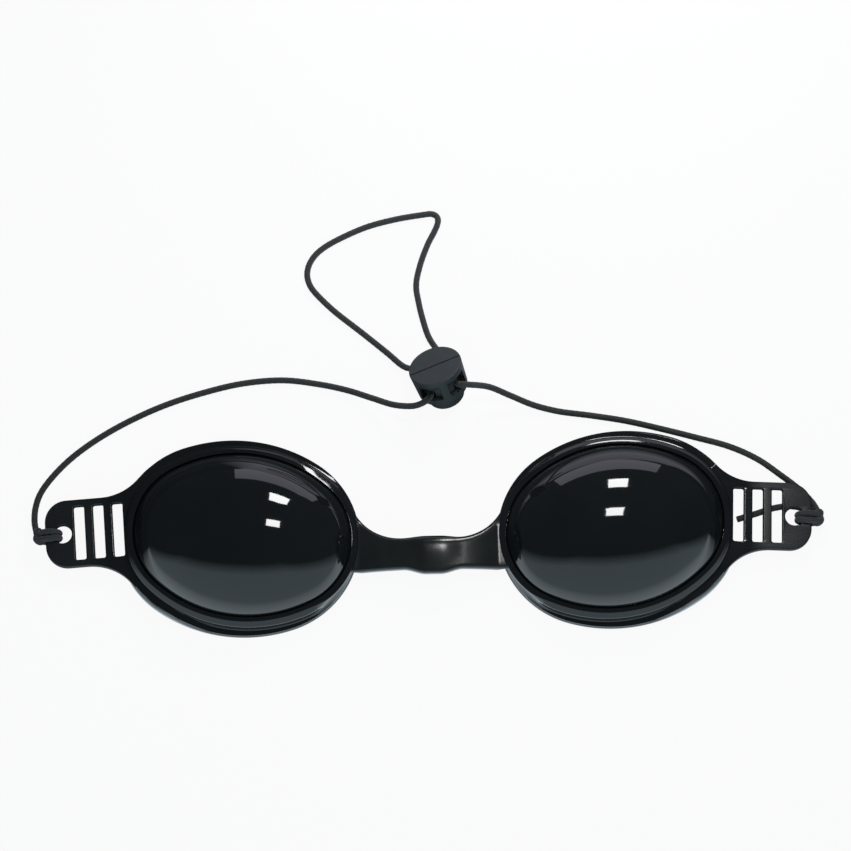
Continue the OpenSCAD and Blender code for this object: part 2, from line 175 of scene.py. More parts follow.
# The same plastic on the rims: a little less even, and with a fine grain and rubbed marks on the tabs
def rimFinish():
    made = Finish("rimGloss", Roughness=0.1, IOR=1.5)
    place = made.place()
    outward = made.axis(place, "X")
    tabMask = ((outward * outward - 0.0052) * 1400.0).clamped()     # 1 on the tabs, from about 72 mm outward
    cloud = made.node("TexNoise", Vector=place, Scale=120.0, Detail=3.0)
    grain = made.node("TexNoise", Vector=place, Scale=2400.0, Detail=2.0)
    hair = made.node("TexNoise", Vector=made.node("Mapping", Vector=place, Rotation=(0, 0, 1.1), Scale=(1, 30, 1)),
                     Scale=220.0, Detail=2.0)
    scuff = made.node("ValToRGB", {"stops": ((0.6, 0.0), (0.72, 1.0))}, Fac=hair)
    made.feed("Base Color", made.node("MixRGB", Fac=cloud * 0.4 + grain * tabMask * 0.4 + scuff * tabMask * 0.25,
                                      Color1=(0.006, 0.007, 0.008, 1), Color2=(0.03, 0.032, 0.035, 1)))
    made.feed("Roughness", cloud * 0.06 + 0.05 + tabMask * (grain * 0.1 + 0.16) + scuff * 0.03)
    made.relief(grain * tabMask + cloud * 0.3, 0.18, 0.00004)
    return made.material


# Satin black soft moulding of the nose bridge
def bridgeFinish():
    made = Finish("bridgeSatin", Roughness=0.34, IOR=1.48, Coat_Roughness=0.3)
    place = made.place()
    grain = made.node("TexNoise", Vector=place, Scale=2600.0, Detail=2.0)
    cloud = made.node("TexNoise", Vector=place, Scale=160.0, Detail=3.0)
    made.feed("Base Color", made.node("MixRGB", Fac=cloud, Color1=(0.009, 0.0105, 0.0105, 1),
                                      Color2=(0.024, 0.027, 0.026, 1)))
    made.feed("Roughness", cloud * 0.08 + 0.16)
    made.relief(grain, 0.25, 0.00004)
    return made.material


# Elastic cord: the braid is in the mesh, its yarns are in the finish
def cordFinish():
    made = Finish("cordBraid", Roughness=0.72, IOR=1.5, Sheen_Weight=0.35, Sheen_Roughness=0.45)
    along = made.node("Mapping", Vector=made.place("UV"), Scale=(16, 3400, 1))
    yarn = made.node("TexWave", {"wave_type": "BANDS", "bands_direction": "DIAGONAL"}, Vector=along,
                     Scale=1.0, Distortion=1.4, Detail=2.0)
    fleck = made.node("TexNoise", Vector=made.place(), Scale=1500.0, Detail=2.0)
    made.feed("Base Color", made.node("MixRGB", Fac=yarn * 0.5 + fleck * 0.4, Color1=(0.012, 0.013, 0.013, 1),
                                      Color2=(0.055, 0.058, 0.057, 1)))
    made.feed("Roughness", fleck * 0.25 + 0.58)
    made.relief(yarn + fleck * 0.5, 0.5, 0.00005)
    return made.material


# Matte moulded plastic of the cord lock, with spark-eroded grain
def lockFinish():
    made = Finish("lockMatte", Roughness=0.55, IOR=1.48)
    place = made.place()
    grain = made.node("TexNoise", Vector=place, Scale=3200.0, Detail=3.0)
    cloud = made.node("TexNoise", Vector=place, Scale=300.0, Detail=2.0)
    made.feed("Base Color", made.node("MixRGB", Fac=cloud * 0.6 + grain * 0.3, Color1=(0.019, 0.025, 0.027, 1),
                                      Color2=(0.047, 0.059, 0.062, 1)))
    made.feed("Roughness", cloud * 0.16 + 0.46)
    made.relief(grain, 0.4, 0.00005)
    return made.material


def springFinish():
    made = Finish("springSteel", Metallic=1.0, Roughness=0.3)
    drawn = made.node("TexNoise", Vector=made.node("Mapping", Vector=made.place(), Scale=(1, 1, 9)),
                      Scale=700.0, Detail=2.0)
    made.feed("Base Color", made.node("MixRGB", Fac=drawn, Color1=(0.33, 0.33, 0.33, 1), Color2=(0.62, 0.62, 0.6, 1)))
    made.feed("Roughness", drawn * 0.25 + 0.2)
    return made.material


finishes = {"shell": shellFinish(), "rim": rimFinish(), "bridge": bridgeFinish(), "cord": cordFinish(),
            "lock": lockFinish(), "spring": springFinish()}
print("finishes made")


def newest(name):
    made = bpy.context.active_object
    made.name = name
    made.data.name = name
    return made


def pickOnly(*pieces):
    bpy.ops.object.select_all(action="DESELECT")
    for piece in pieces:
        piece.select_set(True)
    bpy.context.view_layer.objects.active = pieces[0]


def modify(piece, kind, **settings):
    pickOnly(piece)
    step = piece.modifiers.new(kind, kind)
    for key, value in settings.items():
        setattr(step, key, value)
    bpy.ops.object.modifier_apply(modifier=step.name)


def smooth(piece, angle):
    pickOnly(piece)
    bpy.ops.object.shade_smooth_by_angle(angle=math.radians(angle))
    modify(piece, "WEIGHTED_NORMAL", keep_sharp=True)


def settle(piece):      # a finished piece sits at the origin with its place in its mesh
    pickOnly(piece)
    bpy.ops.object.transform_apply(location=True, rotation=True, scale=True)


def mend(weld=0.0, fill=False):     # the active piece's mesh: welded and closed where asked, and facing outward
    bpy.ops.object.mode_set(mode="EDIT")
    bpy.ops.mesh.select_all(action="SELECT")
    if weld:
        bpy.ops.mesh.remove_doubles(threshold=weld)
    if fill:
        bpy.ops.mesh.fill_holes(sides=0)
    bpy.ops.mesh.normals_make_consistent(inside=False)
    bpy.ops.object.mode_set(mode="OBJECT")


def curveToMesh(name, curve, place):
    pickOnly(addObject(name, curve))
    bpy.ops.object.convert(target="MESH")
    piece = newest(name)
    piece.matrix_world = place
    settle(piece)
    return piece


def dress(piece, finish):
    piece.data.materials.clear()
    piece.data.materials.append(finishes[finish])


def cutWith(piece, tool, operation="DIFFERENCE"):
    modify(piece, "BOOLEAN", object=tool, operation=operation, solver="EXACT")
    bpy.data.objects.remove(tool)


def spun(degrees, axis="Z"):
    return Matrix.Rotation(math.radians(degrees), 4, axis)


# Four-arc oval [half length, half width, end radius], as the shells are drawn
def arcs(oval):
    a, b, r = oval
    k = ((a - r) ** 2 - (b - r) ** 2) / (2 * (b - r))
    return k, b + k, math.atan2(k, a - r)


def ovalPoint(oval, facing):        # the outline's point whose outward direction is facing
    a, _, r = oval
    k, sideR, turn = arcs(oval)
    c, s = math.cos(facing), math.sin(facing)
    if abs(s) <= math.sin(turn):
        return Vector((math.copysign(a - r, c) + r * c, r * s))
    return Vector((sideR * c, sideR * s - math.copysign(k, s)))


def grown(oval, distance):
    return [size + distance for size in oval]


cup = {
    "x": 43.2, "tilt": 9.0,
    "flange": [27.6, 23.0, 21.62], "flangeT": 1.8,
    "seat": [24.9, 19.0, 16.2], "seatShift": 1.0, "ledge": 1.3,
    "collarT": 1.25, "collarH": 5.0, "lipOver": 0.2, "lipFall": 0.55,
    "footW": 2.25, "footH": 3.4, "tabRise": 1.42, "chamferIn": 0.95, "chamferOut": 2.1, "chamferDrop": 1.08,
    "domeH": 16.0, "domeWall": 1.8, "domeZ": 4.4, "domeFull": 0.95, "domeFit": 0.08, "domeEdge": 0.1,
    "ledgeEdge": 0.25, "swellFrom": 42, "swellOver": 34, "uprightTo": 34, "uprightOver": 16,
    "columns": 128, "rows": 20,
}
sides = {"left": -1, "right": 1}


# Millimetres in a cup's own frame to metres in the object's frame
def cupFrame(side, shift=0.0):
    place = Matrix.Translation((cup["x"], 0, 0)) @ spun(cup["tilt"]) @ Matrix.Translation((-shift, 0, 0))
    return Matrix.Diagonal((side * mm, mm, mm, 1)) @ place


# Ring by ring: a circle is added on the first ring, and each further ring is extruded from the last
def ringBody(name, rings, closed=False, capped=False, filled=False):
    count = len(rings[0])
    bpy.ops.mesh.primitive_circle_add(vertices=count, radius=1)
    piece = newest(name)
    order = sorted(piece.data.vertices, key=lambda v: math.atan2(v.co.y, v.co.x) % (2 * math.pi))
    for vertex, point in zip(order, rings[0]):
        vertex.co = point
    ids = [vertex.index for vertex in order]
    for ring in rings[1:]:
        bpy.ops.object.mode_set(mode="EDIT")
        bpy.ops.mesh.extrude_region_move()
        bpy.ops.object.mode_set(mode="OBJECT")
        fresh = [v.index for v in piece.data.vertices if v.select]
        ids = matchRing(piece, ids, fresh)
        for i, point in zip(ids, ring):
            piece.data.vertices[i].co = point
    if capped:
        bpy.ops.object.mode_set(mode="EDIT")
        bpy.ops.mesh.merge(type="CENTER")
        bpy.ops.object.mode_set(mode="OBJECT")
    mend(weld=1e-7 if closed else 0.0, fill=filled)
    return piece


# The extruded points in the order of the ring they came from, while they still share its places
def matchRing(piece, ids, fresh):
    spots = {tuple(round(x, 9) for x in piece.data.vertices[i].co): i for i in fresh}
    return [spots[tuple(round(x, 9) for x in piece.data.vertices[i].co)] for i in ids]


def domeRise(s):            # 1 in the shell's middle, falling to 0 at its edge, where s is 1
    full = cup["domeFull"]
    low = math.sqrt(1 - full ** 2)
    return (math.sqrt(1 - (full * s) ** 2) - low) / (1 - low)


def makeDome(name, side):
    columns = cup["columns"]
    outer = grown(cup["seat"], -cup["domeFit"])
    inner = grown(outer, -cup["domeWall"])
    footZ = cup["flangeT"] + cup["domeFit"]
    place = cupFrame(side, cup["seatShift"])

    def ring(oval, s, z):
        points = [ovalPoint(oval, 2 * math.pi * (i + 0.5) / columns) for i in range(columns)]
        return [place @ Vector((s * p.x, s * p.y, z)) for p in points]

    steps = [math.sin(math.pi / 2 * i / cup["rows"]) for i in range(cup["rows"], 0, -1)]
    rise = cup["domeH"] - cup["domeZ"]
    innerRings = [ring(inner, s, cup["domeZ"] + (rise - cup["domeWall"]) * domeRise(s)) for s in reversed(steps)]
    edgeZ = footZ + cup["domeEdge"]
    wall = [ring(inner, 1, edgeZ), ring(inner, 1, footZ), ring(outer, 1, footZ), ring(outer, 1, edgeZ)]
    outerRings = [ring(outer, s, cup["domeZ"] + rise * domeRise(s)) for s in steps]
    piece = ringBody(name, innerRings + wall + outerRings, capped=True)
    bpy.ops.object.mode_set(mode="EDIT")        # the inner pole is closed too
    bpy.ops.mesh.select_all(action="DESELECT")
    bpy.ops.mesh.select_non_manifold()
    bpy.ops.mesh.edge_face_add()
    bpy.ops.mesh.poke()
    bpy.ops.object.mode_set(mode="OBJECT")
    mend()
    smooth(piece, 40)
    dress(piece, "shell")
    return piece


# Signed distance in millimetres from an oval's outline, inside negative
def ovalDistance(oval, x, y):
    k, sideR, turn = arcs(oval)
    flat = oval[0] - oval[2]
    x, y = abs(x), abs(y)
    if math.atan2(y + k, x) <= turn:
        return math.hypot(x - flat, y) - oval[2]
    return math.hypot(x, y + k) - sideR


# How far from the flange's middle, along an angle, a line stands that keeps a distance from an oval
def reach(oval, shift, distance, angle):
    low, high = 0.0, 60.0
    c, s = math.cos(angle), math.sin(angle)
    for _ in range(30):
        middle = (low + high) / 2
        if ovalDistance(oval, middle * c + shift, middle * s) < distance:
            low = middle
        else:
            high = middle
    return low


def bow(middle, radius, start, end, steps):
    return [(middle[0] + radius * math.cos(math.radians(start + (end - start) * i / steps)),
             middle[1] + radius * math.sin(math.radians(start + (end - start) * i / steps)))
            for i in range(steps + 1)]


def ease(value):            # 0 below 0, 1 above 1, and a smooth rise between
    t = min(max(value, 0), 1)
    return t * t * (3 - 2 * t)


# Outside of the collar from its foot up to its lip, as (distance from the seat, height): chamfered all round,
# but upright over a hollow foot where the bridge meets it. Both have the same number of points.
def collarOutside(upright):
    top, high = cup["flangeT"], cup["collarH"]
    if upright:
        wall, over = cup["collarT"], cup["lipOver"]
        lip, footW, footH, lipZ = wall + over, cup["footW"], cup["footH"], high - cup["lipFall"]
        return [(lip + footW, top + 0.02), (lip + footW * 0.55, top + 0.1), (lip + footW * 0.25, top + 0.35),
                (wall + 0.3, top + 0.8), (wall + 0.05, footH), (wall + 0.02, footH + 0.08),
                (lip - 0.04, footH + over + 0.05), (lip, footH + over + 0.15), (lip, lipZ - 0.2),
                (lip - 0.06, lipZ - 0.06), (lip - 0.18, lipZ + 0.04)]
    near, out, outZ = cup["chamferIn"], cup["chamferOut"], high - cup["chamferDrop"]
    return [(out + 0.7, top + 0.02), (out + 0.35, top + 0.08), (out + 0.12, top + 0.3), (out + 0.03, top + 0.7),
            (out, outZ - 0.3), (out - 0.03, outZ - 0.16), (out - 0.12, outZ - 0.02), (out - 0.3, outZ + 0.16),
            (near + 0.3, high - 0.42), (near + 0.12, high - 0.25), (near - 0.06, high - 0.14)]


# Flange and collar are one moulding: its section as (oval, distance outside it, height)
def rimSection(upright):
    top, high, ledge, small = cup["flangeT"], cup["collarH"], cup["ledge"], cup["ledgeEdge"]
    half = top / 2
    flange = [(x - half, z + half) for x, z in bow((0, 0), half, -90, 90, 12)]
    inside = [(0.2, high - 0.02), (0.08, high - 0.01), (0.0, high - 0.1), (0.0, top + 0.05), (-0.05, top),
              (small - ledge, top), (-ledge, top - small), (-ledge, small)]
    return ([("seat", small - ledge, 0.0)] + [("flange", *point) for point in flange]
            + [("seat", *point) for point in collarOutside(upright) + inside])


# Near the tab the flange swells up to meet the tab's top
def tabSwell(angle, z, outside):
    top, footH = cup["flangeT"], cup["footH"]
    if z <= top / 2 or z >= footH or not outside:
        return 0.0
    turned = math.degrees(math.atan2(math.sin(angle), math.cos(angle))) + cup["tilt"] + tab["droop"]
    share = (z - top / 2) / (top / 2) if z < top else 1 - (z - top) / (footH - top)
    return cup["tabRise"] * share * (1 - ease((abs(turned) - cup["swellFrom"]) / cup["swellOver"]))


def noseShare(angle):       # 1 where the bridge meets the collar, falling to 0 on both sides
    turned = abs(math.degrees(math.atan2(math.sin(angle + math.pi), math.cos(angle + math.pi))) + cup["tilt"])
    return 1 - ease((turned - cup["uprightTo"]) / cup["uprightOver"])


def makeRimRing(name, side):
    place = cupFrame(side)
    angles = [2 * math.pi * (i + 0.5) / cup["columns"] for i in range(cup["columns"])]
    footOut = cup["collarT"] + cup["lipOver"] + cup["footW"]
    edge = [reach(cup["flange"], 0, -cup["flangeT"] / 6, angle) for angle in angles]
    foot = [reach(cup["seat"], cup["seatShift"], footOut, angle) for angle in angles]
    rings = []
    for (kind, plain, plainZ), (_, straight, straightZ) in zip(rimSection(False), rimSection(True)):
        shift = cup["seatShift"] if kind == "seat" else 0.0
        ring = []
        for angle, limit, footEnd in zip(angles, edge, foot):
            share = noseShare(angle)
            distance, z = plain + (straight - plain) * share, plainZ + (straightZ - plainZ) * share
            r = reach(cup[kind], shift, distance, angle)
            if kind == "seat" and z > cup["flangeT"] and distance > cup["collarT"]:
                r = min(r, limit)
            if kind == "flange" and z > cup["flangeT"] / 2:     # the foot runs over the flange's edge at the nose
                r = max(r, min(footEnd, limit))
            lifted = z + tabSwell(angle, z, kind == "flange" or distance > cup["collarT"])
            ring.append(place @ Vector((r * math.cos(angle), r * math.sin(angle), lifted)))
        rings.append(ring)
    rings.append(rings[0])
    return ringBody(name, rings, closed=True)


tab = {
    "holeX": 83.1, "holeY": 1.4, "droop": 3.5, "w": 15.7, "tip": 3.9, "cornerR": 5.0, "filletR": 12.0,
    "t": 1.6, "z": 1.7, "holeR": 2.1, "slots": 3, "pitch": 4.38, "slotW": 2.4, "slotL": 12.5, "first": 3.95,
    "slotCorner": 0.45, "edge": 0.3, "inset": 0.2, "holeSides": 48,
}


def tabFrame(side):
    place = Matrix.Translation((tab["holeX"], tab["holeY"], 0)) @ spun(-tab["droop"])
    return Matrix.Diagonal((side * mm, mm, mm, 1)) @ place


# Outline of the tab in its own frame, from the upper root round the tip to the lower root
def tabOutline():
    halfW, corner, fillet = tab["w"] / 2, tab["cornerR"], tab["filletR"]
    toTab = tabFrame(1).inverted() @ cupFrame(1)
    endR = cup["flange"][2] - tab["inset"]
    end = toTab @ Vector((cup["flange"][0] - cup["flange"][2], 0, 0))
    hollows = []
    for way in (1, -1):
        y = way * (halfW + fillet)
        x = end.x + math.sqrt((endR + fillet) ** 2 - (y - end.y) ** 2)
        touch = math.degrees(math.atan2(end.y - y, end.x - x))
        hollows.append(((x, y), touch))
    (upper, upperTouch), (lower, lowerTouch) = hollows
    points = bow(upper, fillet, upperTouch if upperTouch < 0 else upperTouch - 360, -90, 14)
    points += bow((tab["tip"] - corner, halfW - corner), corner, 90, 0, 12)
    points += bow((tab["tip"] - corner, corner - halfW), corner, 0, -90, 12)
    points += bow(lower, fillet, 90, lowerTouch if lowerTouch > 0 else lowerTouch + 360, 14)
    # the root runs back inside the collar's wall
    seatEnd = toTab @ Vector((cup["seat"][0] - cup["seat"][2] - cup["seatShift"], 0, 0))
    rootR = cup["seat"][2] + cup["collarT"] / 2
    first, last = [math.degrees(math.atan2(p[1] - seatEnd.y, p[0] - seatEnd.x)) for p in (points[-1], points[0])]
    points += bow((seatEnd.x, seatEnd.y), rootR, first, last, 24)
    return points


def roundedBox(x, y, w, h, r):
    w, h = w / 2 - r, h / 2 - r
    corners = [((x + w, y + h), 0), ((x - w, y + h), 90), ((x - w, y - h), 180), ((x + w, y - h), 270)]
    return [point for middle, start in corners for point in bow(middle, r, start, start + 90, 5)]


# A flat curve with holes, given thickness and eased edges, then turned into a mesh
def makePlate(name, outlines, low, high, edge, place):
    flat = bpy.data.curves.new(name, "CURVE")
    flat.dimensions = "2D"
    flat.fill_mode = "BOTH"
    for outline in outlines:
        spline = flat.splines.new("POLY")
        spline.points.add(len(outline) - 1)
        for point, (x, y) in zip(spline.points, outline):
            point.co = (x, y, 0, 1)
        spline.use_cyclic_u = True
    flat.extrude = (high - low) / 2 - edge
    flat.bevel_depth = edge
    flat.bevel_resolution = 3
    flat.offset = -edge
    piece = curveToMesh(name, flat, place @ Matrix.Translation((0, 0, (low + high) / 2)))
    mend(weld=2e-6)
    return piece


def makeRim(name, side):
    ring = makeRimRing(name, side)
    top, count = tab["z"] + tab["t"], tab["holeSides"]
    slots = [roundedBox(-tab["first"] - i * tab["pitch"], 0, tab["slotW"], tab["slotL"], tab["slotCorner"])
             for i in range(tab["slots"])]
    hole = bow((0, 0), tab["holeR"], 0, 360 - 360 / count, count - 1)
    blade = makePlate(name + "Tab", [tabOutline(), hole] + slots, tab["z"], top, tab["edge"], tabFrame(side))
    cutWith(ring, blade, "UNION")
    # the innermost slot reaches into the flange, so it is cut through the whole moulding
    cutWith(ring, makePlate(name + "Slot", [slots[-1]], -1, top + 1, 0.01, tabFrame(side)))
    smooth(ring, 35)
    dress(ring, "rim")
    return ring


for word, side in sides.items():
    dome = makeDome("domeShell" + word.capitalize(), side)
    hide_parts("dome_" + word)
    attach(dome, word + "_cup")
    rim = makeRim("rimMoulding" + word.capitalize(), side)
    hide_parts("rim_" + word)
    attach(rim, word + "_cup")
print("cups made")


# Soft nose bridge: a band swept from cup to cup, its ends following the collars
bridge = {
    "top": -2.0, "bottom": -9.3, "flare": 4.6, "noseR": 12.0, "noseX": 5.9,
    "padX": 0.9, "padFlat": 1.6, "padFade": 5.2, "padDrop": 1.15, "padLift": 0.35, "padSwell": 0.36,
    "t": 2.4, "rise": 2.4, "gap": 0.1, "edge": 0.75, "chamfer": 0.5, "chamferW": 1.6, "crestLean": 0.6,
    "thinnest": 0.05, "across": 12, "stations": 96, "crowding": 0.9, "blendX": 13 * mm,
}


def padShare(x):            # 1 on the pad in the middle, falling to 0 along the band
    return 1 - ease((abs(x - bridge["padX"]) - bridge["padFlat"]) / bridge["padFade"])


def bandEdges(x):
    out = max(abs(x) - bridge["noseX"], 0)
    high = bridge["top"] + bridge["noseR"] - math.sqrt(max(bridge["noseR"] ** 2 - out ** 2, 0))
    return (bridge["bottom"] - bridge["padDrop"] * padShare(x),
            min(high, bridge["flare"]) + bridge["padLift"] * padShare(x))


def seatDistance(x, y):     # from the outline of the nearer cup's seat, outside positive
    turn = math.radians(cup["tilt"])
    u = (abs(x) - cup["x"]) * math.cos(turn) + y * math.sin(turn) + cup["seatShift"]
    v = -(abs(x) - cup["x"]) * math.sin(turn) + y * math.cos(turn)
    return ovalDistance(cup["seat"], u, v)


def collarReach(y):         # how far to the side the collar begins on the line at y
    lip = cup["collarT"] + cup["lipOver"] + bridge["gap"] * 0.5
    near, far = 10.0, 30.0
    for _ in range(30):
        x = (near + far) / 2
        if seatDistance(x, y) > lip:
            near = x
        else:
            far = x
    return near


def bandFloor(x, y):        # underside: arch in the middle, over the collar's foot at the ends
    half = cup["x"] - cup["flange"][0]
    radius = (half ** 2 + bridge["rise"] ** 2) / (2 * bridge["rise"])
    base = cup["flangeT"] + bridge["gap"]
    arch = base + max(bridge["rise"] - radius + math.sqrt(max(radius ** 2 - x * x, 0)), 0) if abs(x) < half else base
    away = seatDistance(x, y) - cup["collarT"]
    width = cup["footW"] + cup["lipOver"]
    slope = base + (cup["footH"] - cup["flangeT"]) * (1 - away / width) if away < width else base
    return max(arch, slope), arch


# Round the band's section: share of its width, top or underside, and where the rounded edge stands from there
def bridgeSection():
    edge, across = bridge["edge"], bridge["across"]
    section = [(0, 1, x, z) for x, z in bow((0, 0), edge, 0, 90, 6)]
    section += [(i / across, 1, 0, edge) for i in range(1, across)]
    section += [(1, 1, x, z) for x, z in bow((0, 0), edge, 90, 180, 6)]
    section += [(1, -1, x, z) for x, z in bow((0, 0), edge, 180, 270, 6)]
    section += [(1 - i / across, -1, 0, -edge) for i in range(1, across)]
    return section + [(0, -1, x, z) for x, z in bow((0, 0), edge, 270, 360, 6)]


def makeBridge():
    edge = bridge["edge"]
    rings = []
    for i in range(bridge["stations"] + 1):
        share = -1 + 2 * i / bridge["stations"]
        share = math.copysign(abs(share) ** bridge["crowding"], share)
        guess = share * collarReach((bridge["top"] + bridge["bottom"]) / 2)
        ring = []
        for width, upward, besideY, besideZ in bridgeSection():
            x = guess
            for _ in range(3):      # the ends bend with the collar
                low, high = bandEdges(x)
                y = high - edge + width * (low - high + 2 * edge) + besideY
                x = share * collarReach(y)
            floorZ, arch = bandFloor(x, y)
            crown = math.sin(math.pi * width ** bridge["crestLean"])
            topZ = arch + bridge["t"] + bridge["padSwell"] * padShare(x) * crown
            topZ -= bridge["chamfer"] * max(0.0, 1 - (high - y) / bridge["chamferW"]) ** 2
            z = topZ - edge if upward > 0 else min(floorZ + edge, topZ - edge - bridge["thinnest"])
            ring.append(Vector((x * mm, y * mm, (z + besideZ) * mm)))
        rings.append(ring)
    piece = ringBody("noseBridge", rings, filled=True)
    smooth(piece, 40)
    dress(piece, "bridge")
    return piece


noseBridge = makeBridge()
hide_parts("nose_bridge")
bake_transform(noseBridge)
print("bridge made")


# Cord lock, drawn upright on its button and then leant as it stands in the photograph
lock = {
    "at": (5.1, 31.9, 1.9), "turn": 29.0, "lean": 33.0, "spin": -11.0,
    "d": 12.5, "h": 7.3, "cap": 1.0, "edgeR": 0.35, "taper": 0.9, "bore": 9.5, "ring": 0.8, "mouthStop": 1.2,
    "windowH": 4.0, "windowTop": 0.5, "windowW": 10.6, "windowR": 0.3, "post": 1.8, "through": 30,
    "grooveD": 0.25, "grooveW": 0.4, "grooveR": 0.12,
    "buttonD": 8.6, "out": 3.3, "buttonR": 1.2, "fit": 0.14, "shoulderGap": 0.05, "topGap": 0.15, "travel": 2.0,
    "strandX": 3.1, "strandGap": 0.2, "eyeTight": 0.1, "cord": 1.4,
    "pocket": 3.9, "pocketDrop": 2.2, "wire": 0.4, "curls": 6, "endTurns": 0.75, "endPitch": 0.9, "turnPoints": 36,
    "coilFoot": 0.05, "coilGap": 0.1,
}
lockFrame = (Matrix.Scale(mm, 4) @ Matrix.Translation(lock["at"]) @ spun(lock["turn"]) @ spun(-lock["lean"], "X")
             @ spun(lock["spin"]))
lockTop = lock["out"] + lock["h"]
lockIn = lockTop - lock["cap"]
windowZ = lockIn - lock["windowTop"] - lock["windowH"]
pocketZ = windowZ - lock["pocketDrop"]
strandZ = windowZ + lock["strandGap"] + lock["cord"] / 2


def cylinder(name, diameter, low, high, sidesCount=96):
    bpy.ops.mesh.primitive_cylinder_add(vertices=sidesCount, radius=diameter / 2, depth=high - low,
                                        location=(0, 0, (low + high) / 2))
    piece = newest(name)
    settle(piece)
    return piece


def block(name, size, at):
    bpy.ops.mesh.primitive_cube_add(size=1, location=at, scale=size)
    piece = newest(name)
    settle(piece)
    return piece


def bevelled(piece, width, steps=3):
    modify(piece, "BEVEL", width=width, segments=steps, limit_method="ANGLE", angle_limit=math.radians(30.0),
           miter_outer="MITER_ARC")


def placeInLock(piece, finish, nodeName, body):
    pickOnly(piece)
    piece.matrix_world = lockFrame
    settle(piece)
    smooth(piece, 35)
    dress(piece, finish)
    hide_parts(nodeName)
    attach(piece, body)


def makeLockBarrel():
    piece = cylinder("lockBarrel", lock["d"], lock["out"], lockTop)
    bpy.ops.object.mode_set(mode="EDIT")
    bpy.ops.mesh.select_all(action="DESELECT")
    bpy.ops.object.mode_set(mode="OBJECT")
    for vertex in piece.data.vertices:
        vertex.select = vertex.co.z < lock["out"] + 0.01
    bpy.ops.object.mode_set(mode="EDIT")
    narrower = 1 - lock["taper"] / lock["d"]
    bpy.ops.transform.resize(value=(narrower, narrower, 1), center_override=(0, 0, lock["out"]))
    bpy.ops.object.mode_set(mode="OBJECT")
    bevelled(piece, lock["edgeR"], 4)
    cutWith(piece, cylinder("mouth", lock["buttonD"] + 2 * lock["fit"], lock["out"] - 1, lockTop - lock["mouthStop"]))
    cutWith(piece, cylinder("bore", lock["bore"], lock["out"] + lock["ring"], lockIn))
    width = (lock["windowW"] - lock["post"]) / 2
    for way in (-1, 1):
        window = block("window", (width, lock["through"], lock["windowH"]),
                       (way * (lock["windowW"] + lock["post"]) / 4, 0, windowZ + lock["windowH"] / 2))
        bevelled(window, lock["windowR"])
        cutWith(piece, window)
    groove = block("groove", (lock["d"] + 1, lock["grooveW"], 2 * lock["grooveD"]), (0, 0, lockTop))
    bevelled(groove, lock["grooveR"], 2)
    cutWith(piece, groove)
    placeInLock(piece, "lock", "lock_barrel", "cord_lock")


def makeLockPlunger():
    shoulder = lock["out"] + lock["ring"] + lock["shoulderGap"]
    top = lockIn - lock["travel"] - lock["topGap"]
    piece = cylinder("lockButton", lock["buttonD"], 0, shoulder + 0.2)
    bevelled(piece, lock["buttonR"], 6)
    collar = cylinder("shoulder", lock["bore"] - 2 * lock["fit"], shoulder, top)
    cutWith(piece, collar, "UNION")
    eyeW = lock["cord"] + 2 * lock["strandGap"] - lock["eyeTight"]
    eyeH = lock["cord"] + 2 * lock["strandGap"] + lock["travel"]
    eyeZ = strandZ + lock["cord"] / 2 + lock["strandGap"] - eyeH
    for way in (-1, 1):
        eye = block("eye", (eyeW, lock["through"], eyeH), (way * lock["strandX"], 0, eyeZ + eyeH / 2))
        bevelled(eye, lock["windowR"])
        cutWith(piece, eye)
    cutWith(piece, cylinder("pocket", lock["pocket"], pocketZ, lockTop, 48))
    placeInLock(piece, "lock", "lock_plunger", "lock_button")


# Coil spring between cap and button, its end turns lying close
def makeLockSpring():
    low, high = pocketZ + lock["coilFoot"] + lock["wire"] / 2, lockIn - lock["coilGap"] - lock["wire"] / 2
    radius = (lock["pocket"] - lock["wire"]) / 2 - lock["coilGap"]
    closed, turns = lock["endTurns"], lock["curls"] + 2 * lock["endTurns"]
    coil = bpy.data.curves.new("lockSpring", "CURVE")
    coil.dimensions = "3D"
    coil.bevel_depth = lock["wire"] / 2
    coil.bevel_resolution = 4
    coil.use_fill_caps = True
    wire = coil.splines.new("POLY")
    count = round(turns * lock["turnPoints"])
    wire.points.add(count)
    for i, point in enumerate(wire.points):
        turn = turns * i / count
        climb = min(max((turn - closed) / (turns - 2 * closed), 0), 1)
        flat = lock["wire"] * lock["endPitch"] * (min(turn, closed) + max(turn - turns + closed, 0))
        z = low + flat + climb * (high - low - 2 * lock["wire"] * lock["endPitch"] * closed)
        point.co = (radius * math.cos(2 * math.pi * turn), radius * math.sin(2 * math.pi * turn), z, 1)
    piece = curveToMesh("lockSpring", coil, lockFrame)
    mend(weld=1e-6, fill=True)
    bpy.ops.object.shade_smooth_by_angle(angle=math.radians(50))
    dress(piece, "spring")
    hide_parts("lock_spring")
    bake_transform(piece)


makeLockBarrel()
makeLockPlunger()
makeLockSpring()
print("cord lock made")


